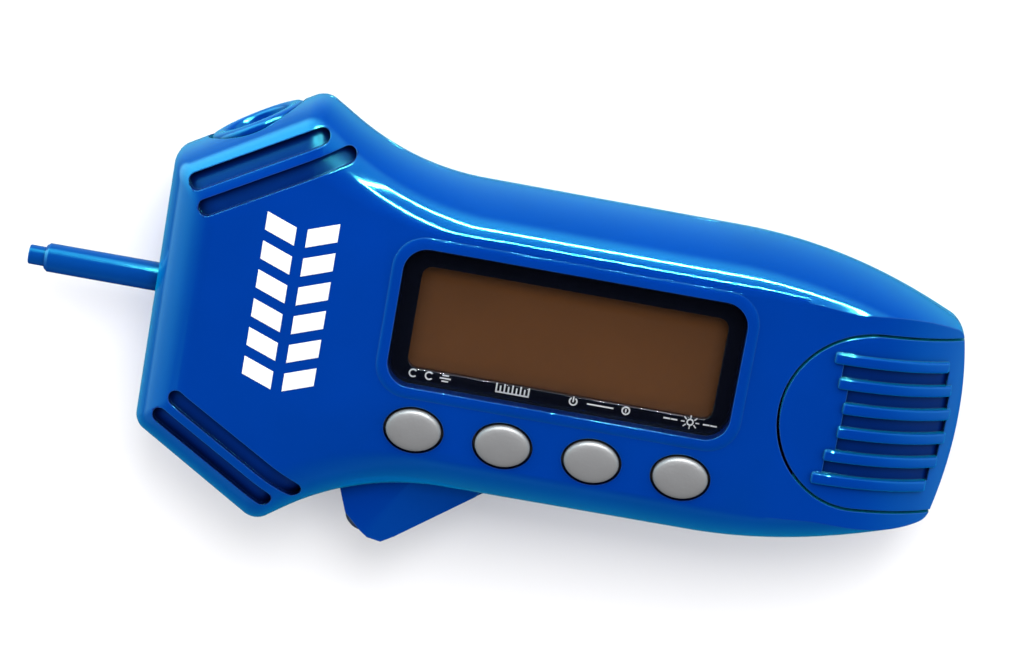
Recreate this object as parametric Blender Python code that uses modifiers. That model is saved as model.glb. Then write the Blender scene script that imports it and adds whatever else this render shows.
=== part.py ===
"""Digital tyre gauge: tread depth probe, tyre valve socket and torch in one hand-held body.

Frame: metres, +X from the measuring face to the tail, +Z out of the display, +Y to the valve socket.
The origin is the middle of the flat back, below the body's mid length.
"""

import math

import bmesh
import bpy
from mathutils import Matrix, Vector

MM = 0.001
GAP = 0.3 * MM

# Overall size.
BODY_LENGTH = 111.0 * MM
THICKNESS = 24.0 * MM
PARTING_Z = THICKNESS / 2
WALL = 2.0 * MM
FACE_X = -BODY_LENGTH / 2
SKIN_Z = THICKNESS - WALL

# Tread probe.
PROBE_Z = 11.0 * MM
ROD_RADIUS = 2.0 * MM
TIP_RADIUS = 1.35 * MM
TIP_LENGTH = 2.3 * MM
ROD_REACH = 15.9 * MM
ROD_INNER_X = -24.0 * MM
CARRIAGE_X = -31.0 * MM
CARRIAGE_LENGTH = 6.0 * MM
SPRING_START_X = CARRIAGE_X + CARRIAGE_LENGTH + GAP
SPRING_ANCHOR_X = 6.8 * MM

# Valve socket, square to the upper head facet.
SOCKET_X, SOCKET_Y = -45.6 * MM, 24.4 * MM
FACET_ANGLE = math.radians(30.9)
SOCKET_RADIUS = 6.8 * MM
SOCKET_BORE = 4.6 * MM
SOCKET_PROUD = 0.2 * MM
SPIGOT_DEPTH = 13.0 * MM

# Torch, in the spout on the lower side.
TORCH_X, TORCH_Y = -22.9 * MM, -28.15 * MM
TORCH_ANGLE = math.radians(231.7)
TORCH_BORE = 3.6 * MM

# Display and keys.
WINDOW_X, WINDOW_Y = 1.0 * MM, 3.6 * MM
WINDOW_LENGTH, WINDOW_WIDTH = 46.0 * MM, 18.5 * MM
VIEW_LENGTH, VIEW_WIDTH = 41.7 * MM, 14.2 * MM
KEY_PITCH = 12.15 * MM
KEY_FIRST_X = -17.3 * MM
KEY_Y = -11.7 * MM
KEY_LENGTH, KEY_WIDTH = 7.45 * MM, 5.65 * MM
KEY_NAMES = ("mode", "unit", "power", "light")

# Main board.
BOARD_LOW_Z, BOARD_HIGH_Z = 15.2 * MM, 16.4 * MM

# The front face bends down over the tail in an arc about this height and station.
TAIL_START_X = 36.0 * MM
TAIL_RADIUS = THICKNESS

# Battery compartment.
COVER_ARC_X = 42.7 * MM
COVER_SKIN = 1.8 * MM
COVER_HALF_WIDTH = 12.0 * MM
CELL_X = 41.5 * MM
CELL_RADIUS = 10.0 * MM
CELL_LOW_Z = 11.2 * MM
CELL_HEIGHT = 3.2 * MM
TRAY_LOW_Z = 8.0 * MM
RIB_PITCH = 3.35 * MM
RIB_WIDTH = 1.5 * MM
RIB_HEIGHT = 0.6 * MM
VALLEY_DEPTH = 0.5 * MM
RIB_END_X = 54.0 * MM
RIB_END_RADIUS = 22.0 * MM
RIB_STARTS = (36.4 * MM, 37.5 * MM, 38.7 * MM, 38.8 * MM, 37.6 * MM, 36.5 * MM)

# Screws that hold the two shells together, and those that hold the board.
CASE_SCREWS = (
    (-32.0 * MM, 14.8 * MM), (-32.0 * MM, -14.8 * MM), (29.0 * MM, 11.8 * MM), (29.0 * MM, -11.8 * MM),
)
BOARD_SCREWS = ((-25.8 * MM, 12.0 * MM), (-25.8 * MM, -12.0 * MM))

# Half outlines (+Y side) from the tail to the measuring face: x, y, corner radius, arc steps.
RIM = (
    (56.9, 0.0, 53.0, 8), (53.8, 13.4, 2.4, 3), (38.0, 21.3, 70.0, 6),
    (-23.6, 21.6, 36.0, 6), (-36.9, 29.7, 2.8, 5), (-55.5, 18.6, 2.4, 3),
)
FLAT = (
    (54.3, 0.0, 60.0, 8), (52.6, 12.4, 0.8, 3), (33.0, 15.2, 100.0, 6),
    (-25.8, 15.2, 38.0, 6), (-36.4, 20.3, 2.6, 5), (-48.3, 12.2, 3.0, 3),
)
# The lower corners of the head stand this much further out than the upper ones.
LOWER_HEAD_EXTRA = 0.8
# How much longer the head's walls stay upright before they turn into the shoulder.
HEAD_STEEPNESS = 1.7
SHOULDER_STEPS = 4
FLAT_INSET_SHARE = 0.15
# The shoulder is an arc stretched between these two slopes; the back starts upright.
FRONT_SHOULDER_START, SHOULDER_END = math.radians(5), math.radians(72)

COLOURS = {
    "body_blue": ((0.004, 0.055, 0.33), 0.22, 0.0),
    "clear": ((0.8, 0.85, 0.9), 0.05, 0.0),
    "black": ((0.01, 0.01, 0.015), 0.4, 0.0),
    "lcd": ((0.09, 0.04, 0.012), 0.3, 0.0),
    "white": ((0.8, 0.8, 0.78), 0.4, 0.0),
    "key_grey": ((0.25, 0.25, 0.26), 0.5, 0.0),
    "board_green": ((0.02, 0.14, 0.05), 0.45, 0.0),
    "steel": ((0.6, 0.6, 0.6), 0.3, 1.0),
    "brass": ((0.7, 0.5, 0.2), 0.3, 1.0),
    "rubber": ((0.03, 0.03, 0.03), 0.8, 0.0),
    "silicone": ((0.6, 0.6, 0.6), 0.5, 0.0),
}


def new_collection(name):
    collection = bpy.data.collections.new(name)
    bpy.context.scene.collection.children.link(collection)
    return collection


def clear_scene():
    for obj in list(bpy.data.objects):
        bpy.data.objects.remove(obj, do_unlink=True)


clear_scene()
PARTS = new_collection("tyre_gauge")
CUTTERS = new_collection("cutters")


def material_for(name, colour):
    base, roughness, metallic = COLOURS[colour]
    material = bpy.data.materials.new(name + "_material")
    material.use_nodes = True
    shader = material.node_tree.nodes["Principled BSDF"]
    shader.inputs["Base Color"].default_value = (*base, 1.0)
    shader.inputs["Roughness"].default_value = roughness
    shader.inputs["Metallic"].default_value = metallic
    material.diffuse_color = (*base, 1.0)
    return material


def object_from(name, mesh, colour=None, smooth=30):
    """Link a mesh as a part with its own material, or as a hidden cutter when no colour is given."""
    obj = bpy.data.objects.new(name, mesh)
    if colour is None:
        obj.hide_render = True
        obj.display_type = "WIRE"
        CUTTERS.objects.link(obj)
        return obj
    mesh.materials.append(material_for(name, colour))
    mesh.shade_smooth()
    mesh.set_sharp_from_angle(angle=math.radians(smooth))
    PARTS.objects.link(obj)
    return obj


def mesh_from(name, bm):
    bmesh.ops.recalc_face_normals(bm, faces=bm.faces)
    mesh = bpy.data.meshes.new(name)
    bm.to_mesh(mesh)
    bm.free()
    return mesh


def box(name, low, high, colour=None):
    low, high = Vector(low), Vector(high)
    bm = bmesh.new()
    bmesh.ops.create_cube(bm, size=1.0, matrix=Matrix.Diagonal((*(high - low), 1.0)))
    obj = object_from(name, mesh_from(name, bm), colour)
    obj.location = (low + high) / 2
    return obj


def turned(name, profile, origin, axis, colour=None, steps=24):
    """Turn (radius, height) points about the axis through origin, which is the solid's local +Z."""
    bm = bmesh.new()
    closed = profile[0] == profile[-1]
    points = [bm.verts.new((radius, 0.0, height)) for radius, height in profile[:-1 if closed else None]]
    for first, second in zip(points, points[1:] + points[:1] if closed else points[1:]):
        bm.edges.new((first, second))
    mesh = bpy.data.meshes.new(name)
    bm.to_mesh(mesh)
    bm.free()
    obj = object_from(name, mesh, colour)
    obj.location = origin
    obj.rotation_mode = "QUATERNION"
    obj.rotation_quaternion = Vector(axis).to_track_quat("Z", "Y")
    screw = obj.modifiers.new("turn", "SCREW")
    screw.axis = "Z"
    screw.angle = math.tau
    screw.steps = steps
    screw.render_steps = steps
    screw.use_merge_vertices = True
    screw.merge_threshold = 0.00001
    screw.use_smooth_shade = True
    return obj


def rod(name, radius, low, high, origin, axis, colour=None, steps=20):
    profile = ((0.0, high), (radius, high), (radius, low), (0.0, low))
    return turned(name, profile, origin, axis, colour, steps)


def ring(name, inner, outer, low, high, origin, axis, colour=None, steps=24):
    profile = ((inner, high), (outer, high), (outer, low), (inner, low), (inner, high))
    return turned(name, profile, origin, axis, colour, steps)


def outline_solid(name, points, low, high, colour=None):
    """A flat closed outline, filled and raised from low to high."""
    curve = bpy.data.curves.new(name + "_outline", "CURVE")
    curve.dimensions = "2D"
    curve.fill_mode = "BOTH"
    curve.extrude = (high - low) / 2
    spline = curve.splines.new("POLY")
    spline.points.add(len(points) - 1)
    spline.use_cyclic_u = True
    for point, (x, y) in zip(spline.points, points):
        point.co = (x, y, 0.0, 1.0)
    guide = bpy.data.objects.new(name + "_outline", curve)
    CUTTERS.objects.link(guide)
    mesh = mesh_of_curve(guide, name)
    mesh.transform(Matrix.Translation((0, 0, (low + high) / 2)))
    return object_from(name, mesh, colour)


def mesh_of_curve(guide, name):
    """Turn a curve object into a welded mesh and remove the curve."""
    graph = bpy.context.evaluated_depsgraph_get()
    mesh = bpy.data.meshes.new_from_object(guide.evaluated_get(graph))
    mesh.name = name
    bm = bmesh.new()
    bm.from_mesh(mesh)
    bmesh.ops.remove_doubles(bm, verts=bm.verts, dist=0.00001)
    bmesh.ops.recalc_face_normals(bm, faces=bm.faces)
    bm.to_mesh(mesh)
    bm.free()
    mesh.materials.clear()
    curve = guide.data
    bpy.data.objects.remove(guide, do_unlink=True)
    bpy.data.curves.remove(curve)
    return mesh


def boolean(obj, operation, operand):
    modifier = obj.modifiers.new(operation.lower() + "_" + operand.name, "BOOLEAN")
    modifier.operation = operation
    modifier.solver = "EXACT"
    modifier.object = operand


def cut(obj, *operands):
    for operand in operands:
        boolean(obj, "DIFFERENCE", operand)


def join(obj, *operands):
    for operand in operands:
        boolean(obj, "UNION", operand)


# Outlines of the moulded body.

def full_cage(half):
    """Corners in millimetres, mirrored about the X axis and run anticlockwise seen from +Z."""
    mirrored = [
        (x, -y - (LOWER_HEAD_EXTRA if x < -30 else 0.0), radius, steps)
        for x, y, radius, steps in reversed(half[1:])
    ]
    return [(Vector((x, y)) * MM, radius * MM, steps) for x, y, radius, steps in list(half) + mirrored]


def inset_cage(cage, distance):
    """Move every edge of the cage inwards and meet the neighbours again."""
    moved = []
    for index, (corner, radius, steps) in enumerate(cage):
        before = (corner - cage[index - 1][0]).normalized()
        after = (cage[(index + 1) % len(cage)][0] - corner).normalized()
        bisector = Vector((-before.y - after.y, before.x + after.x)).normalized()
        reach = distance / bisector.dot(Vector((-after.y, after.x)))
        convex = before.cross(after) > 0
        new_radius = max(radius - distance, 0.5 * MM) if convex else radius + distance
        moved.append((corner + bisector * reach, new_radius, steps))
    return moved


def blend_cage(first, second, share, steepness):
    """Move from one cage to the other; the head's corners leave the first one later than the rest."""
    blended = []
    for (one, radius, steps), (other, radius_other, _) in zip(first, second):
        own_share = share ** steepness if one.x < -30 * MM else share
        blended.append((one.lerp(other, own_share), radius + (radius_other - radius) * own_share, steps))
    return blended


def rounded(cage):
    """Outline points with each corner replaced by its arc."""
    points = []
    for index, (corner, radius, steps) in enumerate(cage):
        back = (cage[index - 1][0] - corner).normalized()
        ahead = (cage[(index + 1) % len(cage)][0] - corner).normalized()
        half_angle = back.angle(ahead) / 2
        centre = corner + (back + ahead).normalized() * (radius / math.sin(half_angle))
        start = corner + back * (radius / math.tan(half_angle)) - centre
        sweep = start.angle_signed(corner + ahead * (radius / math.tan(half_angle)) - centre)
        for step in range(steps + 1):
            turn = Matrix.Rotation(-sweep * step / steps, 2)
            points.append(centre + turn @ start)
    return points


def loft(name, rings, colour=None):
    """Close a stack of (outline points, height) rings, all with the same number of points."""
    bm = bmesh.new()
    loops = [[bm.verts.new((p.x, p.y, height)) for p in points] for points, height in rings]
    for lower, upper in zip(loops, loops[1:]):
        for index in range(len(lower)):
            after = (index + 1) % len(lower)
            bm.faces.new((lower[index], lower[after], upper[after], upper[index]))
    bm.faces.new(list(reversed(loops[0])))
    bm.faces.new(loops[-1])
    return object_from(name, mesh_from(name, bm), colour)


def half_rings(inset, rise, direction):
    """Rings of one moulded half, from the parting plane over the shoulder to its flat."""
    rim, flat = inset_cage(full_cage(RIM), inset), inset_cage(full_cage(FLAT), inset * FLAT_INSET_SHARE)
    first = FRONT_SHOULDER_START if direction > 0 else 0.0
    steepness = HEAD_STEEPNESS if direction > 0 else 1.0
    rings = []
    for step in range(SHOULDER_STEPS + 1):
        angle = first + (SHOULDER_END - first) * step / SHOULDER_STEPS
        share = (math.cos(first) - math.cos(angle)) / (math.cos(first) - math.cos(SHOULDER_END))
        lift = (math.sin(angle) - math.sin(first)) / (math.sin(SHOULDER_END) - math.sin(first))
        height = PARTING_Z + direction * lift * rise
        rings.append((rounded(blend_cage(rim, flat, share, steepness)), height))
    return rings


def moulded_half(name, inset, rise, direction, overrun=0.0, colour=None):
    """A solid half body; a cutter for its hollow overruns the parting plane."""
    rings = half_rings(inset, rise, direction)
    if overrun:
        rings.insert(0, (rings[0][0], PARTING_Z - direction * overrun))
    if direction < 0:
        rings.reverse()
    return loft(name, rings, colour)


def u_outline(half_width, arc_x, end_x, steps=16):
    """A tongue outline: a half round to the left of arc_x and straight sides to end_x."""
    arc = [math.pi / 2 + math.pi * step / steps for step in range(steps + 1)]
    points = [(arc_x + half_width * math.cos(a), half_width * math.sin(a)) for a in arc]
    return points + [(end_x, -half_width), (end_x, half_width)]


def oval(length, width, x, y, steps=28):
    angles = [math.tau * step / steps for step in range(steps)]
    return [(x + length / 2 * math.cos(a), y + width / 2 * math.sin(a)) for a in angles]


def round_rect(length, width, radius, x, y, steps=4):
    cage = [
        (Vector((x + sx * length / 2, y + sy * width / 2)), radius, steps)
        for sx, sy in ((1, 1), (-1, 1), (-1, -1), (1, -1))
    ]
    return [tuple(point) for point in rounded(cage)]


def slot_outline(length, width, steps=6):
    """A slot along X with round ends whose centres are length apart."""
    points = []
    for centre, first in ((length / 2, -math.pi / 2), (-length / 2, math.pi / 2)):
        for step in range(steps + 1):
            angle = first + math.pi * step / steps
            points.append((centre + width / 2 * math.cos(angle), width / 2 * math.sin(angle)))
    return points


# Axes of the socket and the torch.
SOCKET_AXIS = Vector((-math.sin(FACET_ANGLE), math.cos(FACET_ANGLE), 0.0))
SOCKET_POINT = Vector((SOCKET_X, SOCKET_Y, PARTING_Z))
TORCH_AXIS = Vector((math.cos(TORCH_ANGLE), math.sin(TORCH_ANGLE), 0.0))
TORCH_POINT = Vector((TORCH_X, TORCH_Y, PARTING_Z))
PROBE_POINT = Vector((FACE_X, 0.0, PROBE_Z))
SPOUT_OUTLINE = (
    (-25.4, -18.0), (-26.1, -23.4), (-24.8, -26.8), (-21.3, -30.0), (-19.4, -30.6), (-17.7, -29.7),
    (-4.6, -20.7), (-4.6, -18.0),
)
SPOUT_LOW_Z, SPOUT_HIGH_Z = 5.5 * MM, 16.6 * MM
# The spout's front falls away from this ridge towards its straight edge.
SPOUT_RIDGE = Vector((-17.7, -22.3)) * MM, Vector((-21.6, -28.0)) * MM
SPOUT_SLOPE = math.radians(28)
GROOVE_WIDTH = 2.3 * MM
GROOVE_DEPTH = 1.0 * MM
# Grip grooves on the +Y side of the head: name, start and end.
GROOVES = (("outer", (-51.4, 16.3), (-36.0, 25.2)), ("inner", (-49.5, 13.3), (-32.2, 23.3)))


def groove(name, start, end, side):
    """A slot of even depth that follows the shoulder, on the upper (1) or lower (-1) side of the head."""
    (x0, y0), (x1, y1) = scaled((start, end))
    centre = Vector(((x0 + x1) / 2, side * (y0 + y1) / 2))
    turn = Matrix.Rotation(side * math.atan2(y1 - y0, x1 - x0), 2)
    outline = [centre + turn @ Vector(p) for p in slot_outline(math.hypot(x1 - x0, y1 - y0), GROOVE_WIDTH)]
    cutter = outline_solid(name, outline, 15 * MM, 26 * MM)
    floor = moulded_half(name + "_floor", GROOVE_DEPTH, THICKNESS - GROOVE_DEPTH - PARTING_Z, 1)
    cut(cutter, floor)
    return cutter


def scaled(points):
    return [(x * MM, y * MM) for x, y in points]


def shared_cutters():
    """Holes that pass through both shells."""
    countersink = (
        (0.0, 6 * MM), (ROD_RADIUS + GAP, 6 * MM), (ROD_RADIUS + GAP, 1.2 * MM), (3 * MM, -0.2 * MM),
        (0.0, -0.2 * MM),
    )
    bore = turned("probe_hole", countersink, PROBE_POINT, (1, 0, 0))
    socket = rod("socket_hole", SOCKET_RADIUS + GAP, -9 * MM, 6 * MM, SOCKET_POINT, SOCKET_AXIS, steps=28)
    torch = rod("torch_hole", TORCH_BORE, -16 * MM, 3 * MM, TORCH_POINT, TORCH_AXIS)
    return bore, socket, torch


def side_solid(name, points, low, high, colour=None):
    """A closed outline of (x, z) points, filled and raised from low to high along Y."""
    obj = outline_solid(name, points, -high, -low, colour)
    obj.rotation_euler.x = math.pi / 2
    return obj


def tail_arc(radius, start_x, end_x, steps):
    """Points (x, z) on the rounding of the tail, or on an arc with the same centre."""
    first = math.asin((start_x - TAIL_START_X) / radius)
    last = math.asin((end_x - TAIL_START_X) / radius)
    angles = [first + (last - first) * step / steps for step in range(steps + 1)]
    return [(TAIL_START_X + radius * math.sin(a), radius * math.cos(a)) for a in angles]


def tail_trim(name, skin):
    """The space over the rounding of the tail, or over a surface that lies one skin under it."""
    radius = TAIL_RADIUS - skin
    arc = tail_arc(radius, 38 * MM, 57 * MM, 10)
    lead_in = (TAIL_START_X - 1 * MM, radius + 0.04 * MM)
    top = 30 * MM
    return side_solid(name, [lead_in, *arc, (57 * MM, top), (lead_in[0], top)], -30 * MM, 30 * MM)


def spout_slope():
    """The space over the sloping front of the spout."""
    top, tip = SPOUT_RIDGE
    along = (tip - top).normalized()
    wedge = box("spout_wedge", (-20 * MM, 0, 0), (20 * MM, 20 * MM, 12 * MM))
    wedge.location = (top.x, top.y, SPOUT_HIGH_Z)
    wedge.rotation_euler = (-SPOUT_SLOPE, 0.0, math.atan2(along.y, along.x))
    return wedge


def post(name, radius, low, high, x, y, steps=16):
    return rod(name, radius, low, high, (x, y, 0), (0, 0, 1), steps=steps)


def make_front_shell(shared):
    shell = moulded_half("front_shell", 0.0, THICKNESS - PARTING_Z, 1, colour="body_blue")
    spout = outline_solid("spout_front", scaled(SPOUT_OUTLINE), PARTING_Z, SPOUT_HIGH_Z)
    cut(spout, spout_slope())
    join(shell, spout)
    for name, start, end in GROOVES:
        cut(shell, groove(f"{name}_groove_upper", start, end, 1))
        cut(shell, groove(f"{name}_groove_lower", start, end, -1))
    hollow = moulded_half("front_hollow", WALL, SKIN_Z - PARTING_Z, 1, overrun=1 * MM)
    cut(hollow, tail_trim("hollow_tail", WALL))
    cut(shell, tail_trim("shell_tail", 0.0), hollow)
    for index, (x, y) in enumerate(CASE_SCREWS):
        join(shell, post(f"front_boss_{index}", 2.6 * MM, 12.3 * MM, 22.5 * MM, x, y))
        cut(shell, post(f"front_pilot_{index}", 1.25 * MM, 11 * MM, 19 * MM, x, y, 12))
    for index, (x, y) in enumerate(BOARD_SCREWS):
        join(shell, post(f"board_post_{index}", 1.8 * MM, 16.7 * MM, 22.5 * MM, x, y))
        cut(shell, post(f"board_pilot_{index}", 1.0 * MM, 16 * MM, 21 * MM, x, y, 12))
    length, width = WINDOW_LENGTH + 2 * GAP, WINDOW_WIDTH + 2 * GAP
    window = round_rect(length, width, 3.3 * MM, WINDOW_X, WINDOW_Y)
    cut(shell, outline_solid("window_hole", window, 21 * MM, 25 * MM))
    for index in range(len(KEY_NAMES)):
        x = KEY_FIRST_X + index * KEY_PITCH
        hole = oval(KEY_LENGTH + 0.7 * MM, KEY_WIDTH + 0.7 * MM, x, KEY_Y)
        cut(shell, outline_solid(f"key_hole_{index}", hole, 21 * MM, 25 * MM))
    opening = u_outline(COVER_HALF_WIDTH + GAP, COVER_ARC_X, 60 * MM)
    cut(shell, outline_solid("cover_opening", opening, 11 * MM, 26 * MM))
    cut(shell, *shared)
    return shell


def make_back_shell(shared):
    shell = moulded_half("back_shell", 0.0, PARTING_Z, -1, colour="body_blue")
    half_length, half_width = 60 * MM, 40 * MM
    low, high = (-half_length, -half_width, PARTING_Z - GAP), (half_length, half_width, PARTING_Z + 2 * MM)
    parting_trim = box("parting_trim", low, high)
    join(shell, outline_solid("spout_back", scaled(SPOUT_OUTLINE), SPOUT_LOW_Z, PARTING_Z))
    cut(shell, moulded_half("back_hollow", WALL, PARTING_Z - WALL, -1, overrun=1 * MM))
    join(shell, box("strip_plinth", (-34 * MM, -4.5 * MM, 1.5 * MM), (-4 * MM, 4.5 * MM, 4.7 * MM)))
    join(shell, box("spring_wall", (SPRING_ANCHOR_X + GAP, -4 * MM, 1.5 * MM), (8.8 * MM, 4 * MM, 14 * MM)))
    join(shell, box("guide_saddle", (-53.2 * MM, -5.5 * MM, 5 * MM), (-46.5 * MM, 5.5 * MM, 9 * MM)))
    cut(shell, rod("guide_seat", 4 * MM + GAP, 0.5 * MM, 14 * MM, (FACE_X, 0, PROBE_Z), (1, 0, 0)))
    for index, y in enumerate((7 * MM, -7 * MM)):
        join(shell, post(f"tray_pillar_{index}", 1.8 * MM, 1.5 * MM, TRAY_LOW_Z - GAP, CELL_X, y, 12))
    for index, (x, y) in enumerate(CASE_SCREWS):
        join(shell, post(f"back_boss_{index}", 3.2 * MM, 0.5 * MM, 12 * MM, x, y))
        cut(shell, post(f"screw_recess_{index}", 2.4 * MM, -1 * MM, 4 * MM, x, y))
        cut(shell, post(f"screw_way_{index}", 1.35 * MM, 3 * MM, 14 * MM, x, y, 12))
    cut(shell, parting_trim, *shared)
    return shell


def make_battery_cover():
    plate = u_outline(COVER_HALF_WIDTH, COVER_ARC_X, 60 * MM)
    cover = outline_solid("battery_cover", plate, PARTING_Z + GAP, 26 * MM, "body_blue")
    skin = moulded_half("cover_skin", 0.0, THICKNESS - PARTING_Z, 1, overrun=1 * MM)
    cut(skin, tail_trim("cover_tail", 0.0))
    boolean(cover, "INTERSECT", skin)
    for index in range(len(RIB_STARTS) - 1):
        middle = (index + 0.5 - (len(RIB_STARTS) - 1) / 2) * RIB_PITCH
        half = (RIB_PITCH - RIB_WIDTH) / 2 + 0.1 * MM
        start = max(RIB_STARTS[index:index + 2]) + 0.2 * MM
        end = RIB_END_X - 0.4 * MM - middle ** 2 / (2 * RIB_END_RADIUS)
        floor = tail_arc(TAIL_RADIUS - VALLEY_DEPTH, start, end, 8)
        roof = tail_arc(TAIL_RADIUS + 3 * MM, start, end, 8)
        cut(cover, side_solid(f"valley_{index}", roof + floor[::-1], middle - half, middle + half))
    for index, start in enumerate(RIB_STARTS):
        middle = (index - (len(RIB_STARTS) - 1) / 2) * RIB_PITCH
        end = RIB_END_X - middle ** 2 / (2 * RIB_END_RADIUS)
        outer = tail_arc(TAIL_RADIUS + RIB_HEIGHT, start, end, 8)
        inner = tail_arc(TAIL_RADIUS - 1 * MM, start, end, 8)
        low, high = middle - RIB_WIDTH / 2, middle + RIB_WIDTH / 2
        join(cover, side_solid(f"rib_{index}", outer + inner[::-1], low, high))
    hollow = box("cover_hollow", (20 * MM, -14 * MM, 0), (53.7 * MM, 14 * MM, THICKNESS - COVER_SKIN))
    cut(hollow, tail_trim("cover_hollow_tail", COVER_SKIN))
    cut(cover, hollow)
    join(cover, box("cover_tongue", (29 * MM, -3 * MM, 20.2 * MM), (36 * MM, 3 * MM, 21.7 * MM)))
    join(cover, box("cover_neck", (33 * MM, -3 * MM, 21 * MM), (36 * MM, 3 * MM, 23 * MM)))
    return cover


def make_probe():
    probe = turned(
        "tread_probe",
        (
            (0.0, ROD_REACH + TIP_LENGTH), (TIP_RADIUS, ROD_REACH + TIP_LENGTH), (TIP_RADIUS, ROD_REACH),
            (ROD_RADIUS, ROD_REACH), (ROD_RADIUS, FACE_X - ROD_INNER_X), (0.0, FACE_X - ROD_INNER_X),
        ),
        PROBE_POINT, (-1, 0, 0), "body_blue",
    )
    low, high = (CARRIAGE_X, -4.2 * MM, 7.6 * MM), (CARRIAGE_X + CARRIAGE_LENGTH, 4.2 * MM, 14.4 * MM)
    carriage = box("probe_carriage", low, high, "white")
    bore_start = (CARRIAGE_X, 0, PROBE_Z)
    cut(carriage, rod("carriage_bore", ROD_RADIUS + GAP, -1 * MM, 10 * MM, bore_start, (1, 0, 0)))
    box("wiper_contact", (-30.2 * MM, -2.5 * MM, 6.3 * MM), (-26.8 * MM, 2.5 * MM, 7.2 * MM), "brass")
    box("sensor_strip", (-34 * MM, -4 * MM, 5.0 * MM), (-4 * MM, 4 * MM, 6.0 * MM), "board_green")
    ring("probe_guide", ROD_RADIUS + 0.1 * MM, 4 * MM, 2.4 * MM, 9 * MM, PROBE_POINT, (1, 0, 0), "white")
    return probe


def make_probe_spring():
    turns, per_turn, wire, radius = 9, 10, 0.3 * MM, 3.1 * MM
    length = SPRING_ANCHOR_X - SPRING_START_X - 2 * wire
    curve = bpy.data.curves.new("probe_spring", "CURVE")
    curve.dimensions = "3D"
    curve.bevel_depth = wire
    curve.bevel_resolution = 2
    curve.use_fill_caps = True
    spline = curve.splines.new("POLY")
    count = turns * per_turn
    spline.points.add(count)
    for index, point in enumerate(spline.points):
        angle = math.tau * index / per_turn
        x = SPRING_START_X + wire + length * index / count
        point.co = (x, radius * math.cos(angle), PROBE_Z + radius * math.sin(angle), 1.0)
    guide = bpy.data.objects.new("probe_spring_path", curve)
    CUTTERS.objects.link(guide)
    return object_from("probe_spring", mesh_of_curve(guide, "probe_spring"), "steel")


def make_valve_socket():
    turned(
        "valve_socket",
        (
            (SOCKET_BORE, SOCKET_PROUD), (6.0 * MM, SOCKET_PROUD), (6.6 * MM, 0.0),
            (SOCKET_RADIUS, -0.4 * MM),
            (SOCKET_RADIUS, -10.6 * MM), (1.7 * MM, -10.6 * MM), (1.7 * MM, -SPIGOT_DEPTH),
            (0.6 * MM, -SPIGOT_DEPTH),
            (0.6 * MM, -9.4 * MM), (SOCKET_BORE, -9.4 * MM), (SOCKET_BORE, SOCKET_PROUD),
        ),
        SOCKET_POINT, SOCKET_AXIS, "body_blue", steps=28,
    )
    ring("valve_seal", 2.2 * MM, 4.3 * MM, -9.1 * MM, -7.3 * MM, SOCKET_POINT, SOCKET_AXIS, "rubber", steps=20)
    turned(
        "valve_pin",
        (
            (0.0, -6.2 * MM), (0.5 * MM, -6.4 * MM), (0.8 * MM, -6.8 * MM), (0.8 * MM, -8.3 * MM),
            (1.8 * MM, -8.3 * MM), (1.8 * MM, -9.1 * MM), (0.0, -9.1 * MM),
        ),
        SOCKET_POINT, SOCKET_AXIS, "brass", steps=16,
    )
    box("pressure_sensor", (-24 * MM, 5.0 * MM, 10.4 * MM), (-17.5 * MM, 10.0 * MM, 14.9 * MM), "black")
    start = SOCKET_POINT - SOCKET_AXIS * (SPIGOT_DEPTH + GAP)
    end = Vector((-24 * MM - GAP, 7.5 * MM, PARTING_Z + 0.6 * MM))
    curve = bpy.data.curves.new("air_tube", "CURVE")
    curve.dimensions = "3D"
    curve.bevel_depth = 1.5 * MM
    curve.bevel_resolution = 2
    curve.use_fill_caps = True
    spline = curve.splines.new("POLY")
    steps = 10
    spline.points.add(steps)
    lead = 5 * MM
    corners = (start, start - SOCKET_AXIS * lead, end - Vector((lead, 0, 0)), end)
    for index, point in enumerate(spline.points):
        t = index / steps
        weights = ((1 - t) ** 3, 3 * t * (1 - t) ** 2, 3 * t * t * (1 - t), t ** 3)
        point.co = (*sum((corner * weight for corner, weight in zip(corners, weights)), Vector()), 1.0)
    guide = bpy.data.objects.new("air_tube_path", curve)
    CUTTERS.objects.link(guide)
    object_from("air_tube", mesh_of_curve(guide, "air_tube"), "silicone")


def make_torch():
    turned(
        "torch_lens",
        (
            (0.0, 1.75 * MM), (0.9 * MM, 1.62 * MM), (1.7 * MM, 1.25 * MM), (2.3 * MM, 0.4 * MM),
            (2.3 * MM, -2.0 * MM), (0.0, -2.0 * MM),
        ),
        TORCH_POINT, TORCH_AXIS, "clear", steps=20,
    )
    ring("torch_collar", 2.6 * MM, 3.3 * MM, -2.2 * MM, 0.2 * MM, TORCH_POINT, TORCH_AXIS, "black", steps=20)
    turned(
        "torch_reflector",
        (
            (3.0 * MM, -2.5 * MM), (3.3 * MM, -2.5 * MM), (3.3 * MM, -6.5 * MM), (1.3 * MM, -6.5 * MM),
            (1.3 * MM, -6.0 * MM), (3.0 * MM, -2.5 * MM),
        ),
        TORCH_POINT, TORCH_AXIS, "steel", steps=20,
    )
    turned(
        "torch_led",
        (
            (0.0, -4.6 * MM), (0.6 * MM, -4.8 * MM), (0.9 * MM, -5.4 * MM), (0.9 * MM, -6.8 * MM),
            (2.4 * MM, -6.8 * MM), (2.4 * MM, -8.0 * MM), (0.0, -8.0 * MM),
        ),
        TORCH_POINT, TORCH_AXIS, "white", steps=16,
    )


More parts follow.
